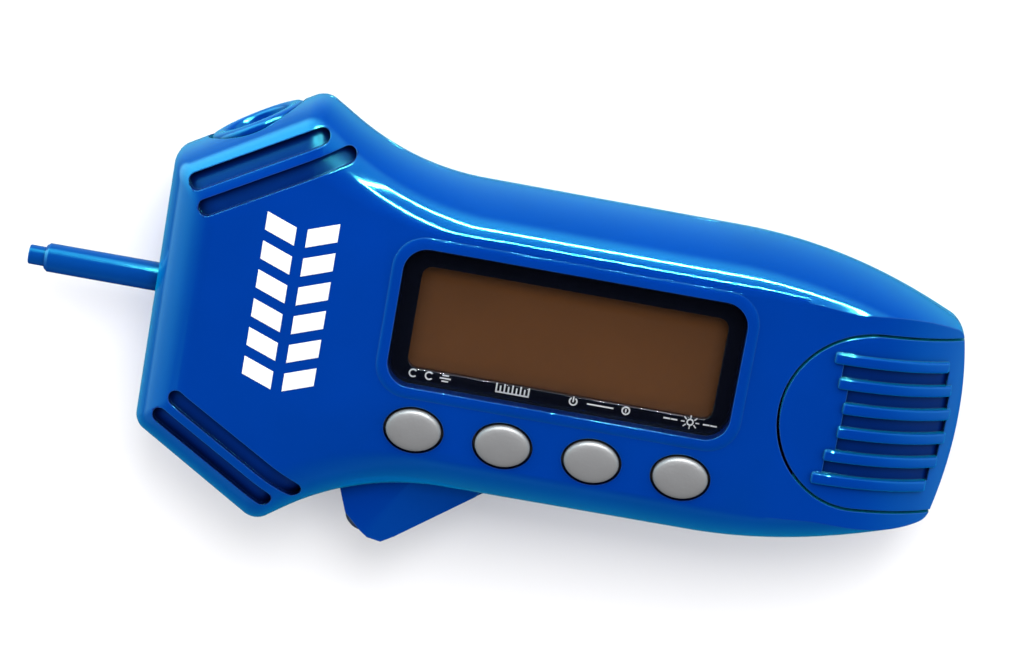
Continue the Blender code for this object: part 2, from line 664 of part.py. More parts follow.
def make_display():
    lens = round_rect(WINDOW_LENGTH, WINDOW_WIDTH, 3.0 * MM, WINDOW_X, WINDOW_Y)
    outline_solid("display_lens", lens, 22.0 * MM, 23.6 * MM, "clear")
    frame = box(
        "display_frame", (WINDOW_X - 24.6 * MM, WINDOW_Y - 10.3 * MM, 20.3 * MM),
        (WINDOW_X + 24.6 * MM, WINDOW_Y + 10.3 * MM, 21.7 * MM), "black",
    )
    view = round_rect(VIEW_LENGTH, VIEW_WIDTH, 1.4 * MM, WINDOW_X + 0.1 * MM, WINDOW_Y - 0.3 * MM)
    cut(frame, outline_solid("view_hole", view, 20 * MM, 22 * MM))
    low_x, high_x = WINDOW_X - 22.3 * MM, WINDOW_X + 22.3 * MM
    box("lcd_panel", (low_x, WINDOW_Y - 7.8 * MM, 18.1 * MM), (high_x, WINDOW_Y + 8.2 * MM, 20.0 * MM), "lcd")
    box("lcd_reflector", (low_x, WINDOW_Y - 5 * MM, 16.7 * MM), (high_x, WINDOW_Y + 5.4 * MM, 17.8 * MM), "white")
    for side, middle in (("upper", WINDOW_Y + 6.9 * MM), ("lower", WINDOW_Y - 6.5 * MM)):
        low = (WINDOW_X - 20 * MM, middle - 0.9 * MM, 16.7 * MM)
        box(f"zebra_strip_{side}", low, (WINDOW_X + 20 * MM, middle + 0.9 * MM, 17.8 * MM), "rubber")


def make_keys():
    for index, name in enumerate(KEY_NAMES):
        x = KEY_FIRST_X + index * KEY_PITCH
        cap = oval(KEY_LENGTH, KEY_WIDTH, x, KEY_Y, steps=24)
        key = outline_solid(f"{name}_button", cap, 20.6 * MM, 24.9 * MM, "key_grey")
        flange = oval(KEY_LENGTH + 1.4 * MM, KEY_WIDTH + 0.8 * MM, x, KEY_Y, steps=24)
        join(key, outline_solid(f"{name}_flange", flange, 20.2 * MM, 21.6 * MM))
        half = 2.25 * MM
        low, high = (x - half, KEY_Y - half, 16.7 * MM), (x + half, KEY_Y + half, 18.4 * MM)
        switch = box(f"{name}_switch", low, high, "black")
        join(switch, post(f"{name}_plunger", 1.2 * MM, 17 * MM, 19.2 * MM, x, KEY_Y, 12))


def make_board():
    low, high = (-28 * MM, -15.4 * MM, BOARD_LOW_Z), (25.5 * MM, 14.6 * MM, BOARD_HIGH_Z)
    board = box("main_board", low, high, "board_green")
    for index, (x, y) in enumerate(BOARD_SCREWS):
        cut(board, post(f"board_hole_{index}", 1.2 * MM, 14 * MM, 18 * MM, x, y, 12))
        screw(f"board_screw_{index + 1}", x, y, 13.6 * MM, 1.8 * MM, 1.1 * MM, 0.7 * MM, 5.6 * MM)
    dome = (
        (0.0, -1.5 * MM), (1.6 * MM, -1.35 * MM), (2.9 * MM, -0.9 * MM), (3.6 * MM, 0.0), (0.0, 0.0),
    )
    profile = tuple((radius, -height) for radius, height in dome)
    turned("controller_chip", profile, (6 * MM, 9.5 * MM, BOARD_LOW_Z - GAP), (0, 0, -1), "black", steps=20)


def screw(name, x, y, low, head_radius, head_height, shaft_radius, length):
    profile = (
        (0.0, length), (shaft_radius, length), (shaft_radius, head_height), (head_radius, head_height),
        (head_radius, 0.0), (0.0, 0.0),
    )
    return turned(name, profile, (x, y, low), (0, 0, 1), "steel", steps=16)


def make_case_screws():
    for index, (x, y) in enumerate(CASE_SCREWS):
        screw(f"case_screw_{index + 1}", x, y, 2.0 * MM, 2.1 * MM, 1.7 * MM, 0.95 * MM, 16 * MM)


def make_battery():
    centre, up = (CELL_X, 0, 0), (0, 0, 1)
    rod("coin_cell", CELL_RADIUS, CELL_LOW_Z, CELL_LOW_Z + CELL_HEIGHT, centre, up, "steel", steps=32)
    tray_floor, tray_top = TRAY_LOW_Z + 1.2 * MM, CELL_LOW_Z + 2.2 * MM
    tray = rod("battery_tray", 11.1 * MM, TRAY_LOW_Z, tray_top, centre, up, "black", steps=32)
    cut(tray, rod("tray_hollow", CELL_RADIUS + GAP, tray_floor, 20 * MM, centre, up, steps=32))
    cut(tray, box("tray_notch", (29 * MM, -2.6 * MM, tray_floor), (33 * MM, 2.6 * MM, 20 * MM)))
    low_x, contact_low = CELL_X - CELL_RADIUS, tray_floor + GAP
    high = (low_x - GAP, 2 * MM, CELL_LOW_Z + 3 * MM)
    box("positive_contact", (low_x - 0.9 * MM, -2 * MM, contact_low), high, "steel")
    high = (CELL_X + 5 * MM, 2 * MM, CELL_LOW_Z - GAP)
    box("negative_contact", (CELL_X - 5 * MM, -2 * MM, contact_low), high, "steel")


def build():
    shared = shared_cutters()
    make_front_shell(shared)
    make_back_shell(shared)
    make_battery_cover()
    make_probe()
    make_probe_spring()
    make_valve_socket()
    make_torch()
    make_display()
    make_keys()
    make_board()
    make_case_screws()
    make_battery()


build()
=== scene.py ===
"""Looks for the digital tyre gauge: fine shells, materials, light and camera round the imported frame."""

import math

import bmesh
import bpy
from mathutils import Matrix, Vector


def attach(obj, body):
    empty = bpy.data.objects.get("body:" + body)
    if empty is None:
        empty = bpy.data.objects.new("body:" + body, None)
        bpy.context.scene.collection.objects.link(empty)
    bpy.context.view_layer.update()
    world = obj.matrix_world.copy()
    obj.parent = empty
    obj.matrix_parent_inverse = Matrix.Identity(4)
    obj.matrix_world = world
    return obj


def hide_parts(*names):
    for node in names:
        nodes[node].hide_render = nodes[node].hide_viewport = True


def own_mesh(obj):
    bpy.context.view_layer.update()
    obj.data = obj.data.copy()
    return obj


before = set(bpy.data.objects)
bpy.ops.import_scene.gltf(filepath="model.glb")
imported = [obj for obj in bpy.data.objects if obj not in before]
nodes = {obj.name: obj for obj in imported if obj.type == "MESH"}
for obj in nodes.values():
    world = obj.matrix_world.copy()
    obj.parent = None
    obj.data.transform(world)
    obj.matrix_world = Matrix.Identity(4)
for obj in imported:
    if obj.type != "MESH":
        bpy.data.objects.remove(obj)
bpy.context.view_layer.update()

MM = 0.001
GAP = 0.3 * MM

# Dimensions shared with the part.
THICKNESS = 24.0 * MM
PARTING_Z = 12.0 * MM
WALL = 2.0 * MM
FACE_X = -55.5 * MM
PROBE_Z = 11.0 * MM
PROBE_POINT = Vector((FACE_X, 0.0, PROBE_Z))
ROD_RADIUS = 2.0 * MM
TIP_RADIUS = 1.35 * MM
ROD_REACH = 15.9 * MM
TIP_LENGTH = 2.3 * MM
SOCKET_POINT = Vector((-45.6 * MM, 24.4 * MM, PARTING_Z))
FACET_ANGLE = math.radians(30.9)
SOCKET_AXIS = Vector((-math.sin(FACET_ANGLE), math.cos(FACET_ANGLE), 0.0))
SOCKET_RADIUS = 6.8 * MM
TORCH_POINT = Vector((-22.9 * MM, -28.15 * MM, PARTING_Z))
TORCH_ANGLE = math.radians(231.7)
TORCH_AXIS = Vector((math.cos(TORCH_ANGLE), math.sin(TORCH_ANGLE), 0.0))
TORCH_BORE = 3.6 * MM
WINDOW_X, WINDOW_Y = 1.0 * MM, 3.6 * MM
WINDOW_LENGTH, WINDOW_WIDTH = 46.0 * MM, 18.5 * MM
KEY_PITCH, KEY_FIRST_X, KEY_Y = 12.15 * MM, -17.3 * MM, -11.7 * MM
KEY_LENGTH, KEY_WIDTH, KEY_PLAY = 7.45 * MM, 5.65 * MM, 0.75 * MM
KEY_NAMES = ("mode", "unit", "power", "light")
TAIL_START_X, TAIL_RADIUS = 36.0 * MM, 24.0 * MM
COVER_ARC_X, COVER_HALF_WIDTH = 42.7 * MM, 12.0 * MM
COVER_SKIN, COVER_GAP = 1.8 * MM, 1.3 * GAP
RIB_PITCH, RIB_WIDTH, RIB_HEIGHT, VALLEY_DEPTH = 3.35 * MM, 1.5 * MM, 0.6 * MM, 0.5 * MM
RIB_END_X, RIB_END_RADIUS = 54.0 * MM, 22.0 * MM
RIB_STARTS = tuple(x * MM for x in (36.4, 37.5, 38.7, 38.8, 37.6, 36.5))
CASE_SCREWS = tuple((x * MM, y * MM) for x, y in ((-32, 14.8), (-32, -14.8), (29, 11.8), (29, -11.8)))
SCREW_HEAD_Z = 2.0 * MM
SPRING_START_X, SPRING_ANCHOR_X = -24.7 * MM, 6.8 * MM
SPRING_RADIUS, SPRING_WIRE, SPRING_TURNS = 3.1 * MM, 0.3 * MM, 9

# Half outlines (+Y side): x, y, corner radius, arc steps.
RIM = (
    (56.9, 0.0, 53.0, 24), (53.8, 13.4, 2.4, 10), (38.0, 21.3, 70.0, 24),
    (-23.6, 21.6, 36.0, 24), (-36.9, 29.7, 2.8, 14), (-55.5, 18.6, 2.4, 10),
)
FLAT = (
    (54.3, 0.0, 60.0, 24), (52.6, 12.4, 0.8, 10), (33.0, 15.2, 100.0, 24),
    (-25.8, 15.2, 38.0, 24), (-36.4, 20.3, 2.6, 14), (-48.3, 12.2, 3.0, 10),
)
LOWER_HEAD_EXTRA = 0.8
HEAD_STEEPNESS = 1.7
SHOULDER_STEPS = 14
HEAD_X = -30.0 * MM
FLAT_INSET_SHARE = 0.15
# The shoulder is an arc stretched between these two slopes; the back starts upright.
FRONT_SHOULDER_START, SHOULDER_END = math.radians(5), math.radians(72)
SPOUT_OUTLINE = (
    (-25.4, -18.0), (-26.1, -23.4), (-24.8, -26.8), (-21.3, -30.0), (-19.4, -30.6), (-17.7, -29.7),
    (-4.6, -20.7), (-4.6, -18.0),
)
SPOUT_LOW_Z, SPOUT_HIGH_Z = 5.5 * MM, 16.6 * MM
SPOUT_RIDGE = Vector((-17.7, -22.3)) * MM, Vector((-21.6, -28.0)) * MM
SPOUT_SLOPE = math.radians(28)
# Grooves on the head: start and end.
GROOVES = (((-51.4, 16.3), (-36.0, 25.2)), ((-49.5, 13.3), (-32.2, 23.3)))
GROOVE_WIDTH, GROOVE_DEPTH, GROOVE_LOW_Z = 2.3 * MM, 1.0 * MM, 15.0 * MM
# A cutter between these two heights passes through the front wall.
FRONT_CUT_LOW_Z, FRONT_CUT_HIGH_Z = 21.0 * MM, 25.0 * MM
# Outside the whole gauge.
OUT_X, OUT_Y, TOP_Z = 60.0 * MM, 40.0 * MM, 26.0 * MM


def scaled(points):
    return [(x * MM, y * MM) for x, y in points]


# Materials.

def new_material(name):
    material = bpy.data.materials.new(name)
    material.use_nodes = True
    tree = material.node_tree
    return material, tree, tree.nodes["Principled BSDF"]


def set_inputs(tree, node, values):
    """Link an input that is given another node's socket, and set any other value on it."""
    for name, value in values.items():
        if isinstance(value, bpy.types.NodeSocket):
            tree.links.new(value, node.inputs[name])
        else:
            node.inputs[name].default_value = value


def add_node(tree, kind, inputs=None, **settings):
    node = tree.nodes.new("ShaderNode" + kind)
    for name, value in settings.items():
        setattr(node, name, value)
    set_inputs(tree, node, inputs or {})
    return node


# The finest relief of a surface, and how far the painted shade of a hollow reaches.
RELIEF_DEPTH, PAINTED_SHADE_REACH = 0.0002, 0.0022


def plastic(name, colour, roughness, variation=0.06, grain=900.0, bump=0.02, wear=0.25, tint=None,
            metallic=0.0, specular=0.5, edge=0.0002, grain_roughness=0.05, coat=0.0, painted_hollow_shade=0.3, sheen=0.0):
    """A moulded or metal surface: mottled colour, worn edges, painted shade in its hollows, uneven gloss and
    a fine grain.
    """
    material, tree, shader = new_material(name)
    place = add_node(tree, "TexCoord").outputs["Object"]
    cloud = add_node(tree, "TexNoise", {"Vector": place, "Scale": 60.0, "Detail": 4.0}).outputs["Fac"]
    fine = add_node(tree, "TexNoise", {"Vector": place, "Scale": grain, "Detail": 3.0}).outputs["Fac"]
    mottle = add_node(tree, "ValToRGB", {"Fac": cloud})
    shares = (1 - variation, 1 + variation)
    for stop, position, share in zip(mottle.color_ramp.elements, (0.35, 0.65), shares):
        stop.position = position
        stop.color = (*(min(1.0, c * share) for c in colour), 1.0)
    # An edge is where the bevelled normal leaves the true one.
    soft_normal = add_node(tree, "Bevel", {"Radius": edge}, samples=4).outputs["Normal"]
    true_normal = add_node(tree, "NewGeometry").outputs["Normal"]
    facing = add_node(tree, "VectorMath", {0: soft_normal, 1: true_normal}, operation="DOT_PRODUCT")
    worn = add_node(tree, "MapRange", {
        "Value": facing.outputs["Value"], "From Min": 0.99, "From Max": 0.80, "To Max": wear,
    })
    patchy = add_node(tree, "Math", {0: worn.outputs["Result"], 1: cloud}, operation="MULTIPLY")
    edged = add_node(tree, "Mix", {
        "Factor": patchy.outputs["Value"], "A": mottle.outputs["Color"],
        "B": (*(min(1.0, c * 1.6 + 0.08) for c in colour), 1.0),
    }, data_type="RGBA")
    # Painted shade: ambient occlusion darkens the colour in hollows, creases and gaps between parts.
    hollow = add_node(tree, "AmbientOcclusion", {"Distance": PAINTED_SHADE_REACH}, samples=6)
    depth = add_node(tree, "MapRange", {
        "Value": hollow.outputs["AO"], "From Min": 0.35, "From Max": 0.95, "To Min": 1.0 - painted_hollow_shade,
    })
    shaded = add_node(tree, "Mix", {
        "Factor": 1.0, "A": edged.outputs["Result"], "B": depth.outputs["Result"],
    }, data_type="RGBA", blend_type="MULTIPLY")
    gloss = add_node(tree, "MapRange", {
        "Value": fine, "To Min": max(0.0, roughness - grain_roughness),
        "To Max": min(1.0, roughness + grain_roughness),
    })
    relief = add_node(tree, "Bump", {
        "Strength": bump, "Distance": RELIEF_DEPTH, "Height": fine, "Normal": soft_normal,
    })
    set_inputs(tree, shader, {
        "Base Color": shaded.outputs["Result"], "Roughness": gloss.outputs["Result"],
        "Normal": relief.outputs["Normal"], "Metallic": metallic, "Specular IOR Level": specular,
        "Coat Weight": coat,
    })
    if sheen:
        set_inputs(tree, shader, {
            "Sheen Weight": sheen, "Sheen Roughness": 0.5, "Sheen Tint": (0.0, 0.62, 1.0, 1.0),
        })
    if tint:
        set_inputs(tree, shader, {"Specular Tint": (*tint, 1.0)})
    return material


BLUE_TINT = (0.08, 0.88, 1.0)
FINISHES = {
    "body_blue": dict(
        colour=(0.0002, 0.0245, 0.23), roughness=0.06, variation=0.05, grain=700, bump=0.012, wear=0.5,
        tint=BLUE_TINT, specular=0.55, edge=0.00025, grain_roughness=0.02, painted_hollow_shade=0.75, sheen=0.35,
    ),
    "probe_blue": dict(
        colour=(0.001, 0.045, 0.24), roughness=0.06, variation=0.05, grain=700, bump=0.01, wear=0.3,
        tint=BLUE_TINT, grain_roughness=0.02,
    ),
    # A darker, duller copy of the body blue, painted on faces that lie in shade.
    "shaded_blue": dict(
        colour=(0.0005, 0.0155, 0.15), roughness=0.3, variation=0.05, grain=700, bump=0.012, wear=0.5,
        tint=BLUE_TINT, specular=0.12, edge=0.00025, painted_hollow_shade=0.6,
    ),
    "white_plastic": dict(colour=(0.72, 0.72, 0.70), roughness=0.45),
    "black_plastic": dict(colour=(0.012, 0.012, 0.014), roughness=0.45),
    "black_gloss": dict(colour=(0.004, 0.005, 0.011), roughness=0.08, bump=0.004, wear=0.1),
    "lcd_brown": dict(
        colour=(0.100, 0.035, 0.008), roughness=0.3, variation=0.05, grain=1400, bump=0.01, wear=0.1,
    ),
    "key_grey": dict(colour=(0.142, 0.142, 0.147), roughness=0.5, variation=0.04, grain=2400, bump=0.10),
    "circuit_board": dict(colour=(0.02, 0.12, 0.04), roughness=0.4, variation=0.12, grain=500, bump=0.05),
    "brass": dict(colour=(0.75, 0.5, 0.18), roughness=0.3, variation=0.08, bump=0.03, metallic=1.0),
    "spring_steel": dict(colour=(0.6, 0.6, 0.6), roughness=0.28, variation=0.08, bump=0.03, metallic=1.0),
    "screw_steel": dict(colour=(0.55, 0.55, 0.56), roughness=0.32, variation=0.1, bump=0.04, metallic=1.0),
    "cell_steel": dict(
        colour=(0.62, 0.62, 0.63), roughness=0.3, grain=1500, bump=0.05, metallic=1.0,
    ),
    "reflector_chrome": dict(colour=(0.8, 0.8, 0.82), roughness=0.08, variation=0.03, metallic=1.0),
    "black_rubber": dict(colour=(0.02, 0.02, 0.02), roughness=0.75, variation=0.1, grain=600, bump=0.08),
    "silicone": dict(colour=(0.6, 0.6, 0.58), roughness=0.5),
    "print_white": dict(
        colour=(0.82, 0.82, 0.83), roughness=0.4, variation=0.02, grain=1400, bump=0.01, wear=0.0,
    ),
    "torch_collar": dict(colour=(0.03, 0.04, 0.08), roughness=0.3),
    "torch_glass": dict(colour=(0.035, 0.045, 0.09), roughness=0.04, specular=0.9, coat=1.0),
}
MATERIALS = {name: plastic(name, **settings) for name, settings in FINISHES.items()}


def clear_plastic(name, colour, roughness):
    """A thin polished window: mostly seen through, with a reflection that grows to the edge of sight."""
    material, tree, shader = new_material(name)
    output = tree.nodes["Material Output"]
    tree.nodes.remove(shader)
    place = add_node(tree, "TexCoord").outputs["Object"]
    noise = add_node(tree, "TexNoise", {"Vector": place, "Scale": 300.0})
    relief = add_node(tree, "Bump", {
        "Strength": 0.004, "Distance": RELIEF_DEPTH, "Height": noise.outputs["Fac"],
    })
    through = add_node(tree, "BsdfTransparent", {"Color": (*colour, 1.0)})
    gloss = add_node(tree, "BsdfGlossy", {"Roughness": roughness, "Normal": relief.outputs["Normal"]})
    # Only the outer face of the plate reflects.
    behind = add_node(tree, "NewGeometry").outputs["Backfacing"]
    outside = add_node(tree, "Math", {0: 1.0, 1: behind}, operation="SUBTRACT")
    fresnel = add_node(tree, "Fresnel", {"IOR": 1.45})
    strength = add_node(tree, "Math", {
        0: fresnel.outputs["Fac"], 1: outside.outputs["Value"],
    }, operation="MULTIPLY", use_clamp=True)
    mix = add_node(tree, "MixShader", {
        "Fac": strength.outputs["Value"], 1: through.outputs["BSDF"], 2: gloss.outputs["BSDF"],
    })
    tree.links.new(mix.outputs["Shader"], output.inputs["Surface"])
    return material


MATERIALS["clear_plastic"] = clear_plastic("clear_plastic", (0.97, 0.975, 0.98), 0.02)


# Building blocks.

def mesh_object(name, bm):
    bmesh.ops.recalc_face_normals(bm, faces=bm.faces)
    mesh = bpy.data.meshes.new(name)
    bm.to_mesh(mesh)
    bm.free()
    obj = bpy.data.objects.new(name, mesh)
    bpy.context.scene.collection.objects.link(obj)
    return obj


def full_cage(half):
    mirrored = [
        (x, -y - (LOWER_HEAD_EXTRA if x * MM < HEAD_X else 0.0), radius, steps)
        for x, y, radius, steps in reversed(half[1:])
    ]
    return [(Vector((x, y)) * MM, radius * MM, steps) for x, y, radius, steps in list(half) + mirrored]


def inset_cage(cage, distance):
    moved = []
    for index, (corner, radius, steps) in enumerate(cage):
        before = (corner - cage[index - 1][0]).normalized()
        after = (cage[(index + 1) % len(cage)][0] - corner).normalized()
        bisector = Vector((-before.y - after.y, before.x + after.x)).normalized()
        reach = distance / bisector.dot(Vector((-after.y, after.x)))
        convex = before.cross(after) > 0
        new_radius = max(radius - distance, 0.5 * MM) if convex else radius + distance
        moved.append((corner + bisector * reach, new_radius, steps))
    return moved


def blend_cage(first, second, share, steepness):
    """Move from one cage to the other; the head's corners leave the first one later than the rest."""
    blended = []
    for (one, radius, steps), (other, radius_other, _) in zip(first, second):
        own_share = share ** steepness if one.x < HEAD_X else share
        blended.append((one.lerp(other, own_share), radius + (radius_other - radius) * own_share, steps))
    return blended


def rounded(cage):
    points = []
    for index, (corner, radius, steps) in enumerate(cage):
        back = (cage[index - 1][0] - corner).normalized()
        ahead = (cage[(index + 1) % len(cage)][0] - corner).normalized()
        half_angle = back.angle(ahead) / 2
        centre = corner + (back + ahead).normalized() * (radius / math.sin(half_angle))
        start = corner + back * (radius / math.tan(half_angle)) - centre
        sweep = start.angle_signed(corner + ahead * (radius / math.tan(half_angle)) - centre)
        for step in range(steps + 1):
            points.append(centre + Matrix.Rotation(-sweep * step / steps, 2) @ start)
    return points


def loft(name, rings):
    """Close a stack of (outline points, height) rings, all with the same number of points."""
    bm = bmesh.new()
    loops = [[bm.verts.new((p[0], p[1], height)) for p in points] for points, height in rings]
    for lower, upper in zip(loops, loops[1:]):
        for index in range(len(lower)):
            after = (index + 1) % len(lower)
            bm.faces.new((lower[index], lower[after], upper[after], upper[index]))
    bm.faces.new(list(reversed(loops[0])))
    bm.faces.new(loops[-1])
    return mesh_object(name, bm)


def half_rings(inset, rise, direction):
    """Rings of one moulded half, from the parting plane over the shoulder to its flat."""
    rim, flat = inset_cage(full_cage(RIM), inset), inset_cage(full_cage(FLAT), inset * FLAT_INSET_SHARE)
    first = FRONT_SHOULDER_START if direction > 0 else 0.0
    steepness = HEAD_STEEPNESS if direction > 0 else 1.0
    rings = []
    for step in range(SHOULDER_STEPS + 1):
        angle = first + (SHOULDER_END - first) * step / SHOULDER_STEPS
        share = (math.cos(first) - math.cos(angle)) / (math.cos(first) - math.cos(SHOULDER_END))
        lift = (math.sin(angle) - math.sin(first)) / (math.sin(SHOULDER_END) - math.sin(first))
        height = PARTING_Z + direction * lift * rise
        rings.append((rounded(blend_cage(rim, flat, share, steepness)), height))
    return rings


def moulded_half(name, inset, rise, direction, overrun=0.0):
    rings = half_rings(inset, rise, direction)
    if overrun:
        rings.insert(0, (rings[0][0], PARTING_Z - direction * overrun))
    if direction < 0:
        rings.reverse()
    return loft(name, rings)


def prism(name, points, low, high):
    """A closed flat outline raised from low to high."""
    return loft(name, [(points, low), (points, high)])


def side_prism(name, points, low, high):
    """An (x, z) outline raised along Y."""
    obj = prism(name, points, -high, -low)
    obj.rotation_euler.x = math.pi / 2
    return obj


def soft_prism(name, centre, outline_at, steps):
    """A raised shape from (inset, height) steps; outline_at gives the outline for an inset."""
    x, y = centre
    rings = [([(x + px, y + py) for px, py in outline_at(inset)], height) for inset, height in steps]
    return loft(name, rings)


def turned(name, profile, origin, axis, steps=64):
    """A solid of revolution from (radius, height) pairs along axis."""
    bm = bmesh.new()
    closed = profile[0] == profile[-1]
    rows = profile[:-1] if closed else profile
    loops = []
    for radius, height in rows:
        if radius <= 0.0:
            loops.append([bm.verts.new((0.0, 0.0, height))])
            continue
        angles = [math.tau * step / steps for step in range(steps)]
        loops.append([bm.verts.new((radius * math.cos(a), radius * math.sin(a), height)) for a in angles])
    pairs = list(zip(loops, loops[1:]))
    if closed:
        pairs.append((loops[-1], loops[0]))
    for one, other in pairs:
        for step in range(steps):
            after = (step + 1) % steps
            corners = [one[step % len(one)], one[after % len(one)]]
            corners += [other[after % len(other)], other[step % len(other)]]
            unique = list(dict.fromkeys(corners))
            if len(unique) > 2:
                bm.faces.new(unique)
    obj = mesh_object(name, bm)
    turn = Vector((0, 0, 1)).rotation_difference(Vector(axis)).to_matrix().to_4x4()
    obj.data.transform(Matrix.Translation(Vector(origin)) @ turn)
    return obj


def rod(name, radius, low, high, origin, axis, steps=48):
    return turned(name, ((0.0, low), (radius, low), (radius, high), (0.0, high)), origin, axis, steps)


def post(name, radius, low, high, x, y):
    return rod(name, radius, low, high, (x, y, 0), (0, 0, 1), 40)


def box(name, low, high):
    corners = [(low[0], low[1]), (high[0], low[1]), (high[0], high[1]), (low[0], high[1])]
    return prism(name, corners, low[2], high[2])


def round_rect(length, width, radius, x, y, steps=10):
    cage = [
        (Vector((x + sx * length / 2, y + sy * width / 2)), radius, steps)
        for sx, sy in ((1, 1), (-1, 1), (-1, -1), (1, -1))
    ]
    return rounded(cage)


def oval(length, width, x=0.0, y=0.0, steps=64):
    angles = [math.tau * step / steps for step in range(steps)]
    return [(x + length / 2 * math.cos(a), y + width / 2 * math.sin(a)) for a in angles]


def slot_outline(length, width, steps=14):
    points = []
    for centre, first in ((length / 2, -math.pi / 2), (-length / 2, math.pi / 2)):
        for step in range(steps + 1):
            angle = first + math.pi * step / steps
            points.append((centre + width / 2 * math.cos(angle), width / 2 * math.sin(angle)))
    return points


def u_outline(half_width, arc_x, end_x, steps=48):
    arc = [math.pi / 2 + math.pi * step / steps for step in range(steps + 1)]
    points = [(arc_x + half_width * math.cos(a), half_width * math.sin(a)) for a in arc]
    return points + [(end_x, -half_width), (end_x, half_width)]


def boolean(obj, operation, operand):
    """Apply one exact Boolean and drop its operand."""
    modifier = obj.modifiers.new(operation.lower(), "BOOLEAN")
    modifier.operation = operation
    modifier.solver = "EXACT"
    modifier.object = operand
    bpy.context.view_layer.update()
    graph = bpy.context.evaluated_depsgraph_get()
    mesh = bpy.data.meshes.new_from_object(obj.evaluated_get(graph))
    obj.modifiers.clear()
    old = obj.data
    obj.data = mesh
    bpy.data.meshes.remove(old)
    bpy.data.objects.remove(operand, do_unlink=True)


def cut(obj, *operands):
    for operand in operands:
        boolean(obj, "DIFFERENCE", operand)


def join(obj, *operands):
    for operand in operands:
        boolean(obj, "UNION", operand)


def finish_piece(obj, body, slot, *replaced, smooth=32, material=None):
    """Give a fine piece its finish and its place in the frame."""
    obj.data.materials.clear()
    obj.data.materials.append(MATERIALS[material or slot])
    obj.data.shade_smooth()
    obj.data.set_sharp_from_angle(angle=math.radians(smooth))
    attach(obj, body)
    if replaced:
        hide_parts(*replaced)
    return obj


def shade_faces(obj, chosen):
    """Paint the chosen faces, such as the walls of the openings, with the darker blue of painted shade."""
    obj.data.materials.append(MATERIALS["shaded_blue"])
    for face in obj.data.polygons:
        if chosen(face.center, face.normal):
            face.material_index = 1


# The moulded body.

def groove(start, end, side):
    """A slot of even depth that follows the shoulder, on the upper (1) or lower (-1) side of the head."""
    (x0, y0), (x1, y1) = scaled((start, end))
    centre = Vector(((x0 + x1) / 2, side * (y0 + y1) / 2))
    turn = Matrix.Rotation(side * math.atan2(y1 - y0, x1 - x0), 2)
    outline = [centre + turn @ Vector(p) for p in slot_outline(math.hypot(x1 - x0, y1 - y0), GROOVE_WIDTH)]
    cutter = prism("groove", outline, GROOVE_LOW_Z, TOP_Z)
    cut(cutter, moulded_half("groove_floor", GROOVE_DEPTH, THICKNESS - GROOVE_DEPTH - PARTING_Z, 1))
    return cutter


def in_groove(point):
    """Whether a point lies over one of the head's grooves."""
    flat = Vector((point.x, abs(point.y)))
    for ends in GROOVES:
        start, end = (Vector(p) for p in scaled(ends))
        along = max(0.0, min(1.0, (flat - start).dot(end - start) / (end - start).length_squared))
        if (flat - start.lerp(end, along)).length < GROOVE_WIDTH / 2:
            return True
    return False


def shared_cutters():
    countersink = (
        (0.0, 6 * MM), (ROD_RADIUS + GAP, 6 * MM), (ROD_RADIUS + GAP, 1.2 * MM), (3 * MM, -0.2 * MM),
        (0.0, -0.2 * MM),
    )
    bore = turned("probe_hole", countersink, PROBE_POINT, (1, 0, 0))
    socket = rod("socket_hole", SOCKET_RADIUS + GAP, -9 * MM, 6 * MM, SOCKET_POINT, SOCKET_AXIS)
    torch = rod("torch_hole", TORCH_BORE, -16 * MM, 3 * MM, TORCH_POINT, TORCH_AXIS)
    return bore, socket, torch


def tail_arc(radius, start_x, end_x, steps):
    first = math.asin((start_x - TAIL_START_X) / radius)
    last = math.asin((end_x - TAIL_START_X) / radius)
    angles = [first + (last - first) * step / steps for step in range(steps + 1)]
    return [(TAIL_START_X + radius * math.sin(a), radius * math.cos(a)) for a in angles]


def tail_trim(name, skin):
    radius = TAIL_RADIUS - skin
    arc = tail_arc(radius, 37 * MM, 57 * MM, 36)
    lead_in = (TAIL_START_X - 1 * MM, radius + 0.02 * MM)
    top = 30 * MM
    return side_prism(name, [lead_in, *arc, (57 * MM, top), (lead_in[0], top)], -30 * MM, 30 * MM)


def spout_slope():
    """The space over the sloping front of the spout."""
    top, tip = SPOUT_RIDGE
    along = (tip - top).normalized()
    wedge = box("spout_wedge", (-20 * MM, 0, 0), (20 * MM, 20 * MM, 12 * MM))
    wedge.location = (top.x, top.y, SPOUT_HIGH_Z)
    wedge.rotation_euler = (-SPOUT_SLOPE, 0.0, math.atan2(along.y, along.x))
    return wedge


def window_outline(wider, radius):
    return round_rect(WINDOW_LENGTH + wider, WINDOW_WIDTH + wider, radius, WINDOW_X, WINDOW_Y)


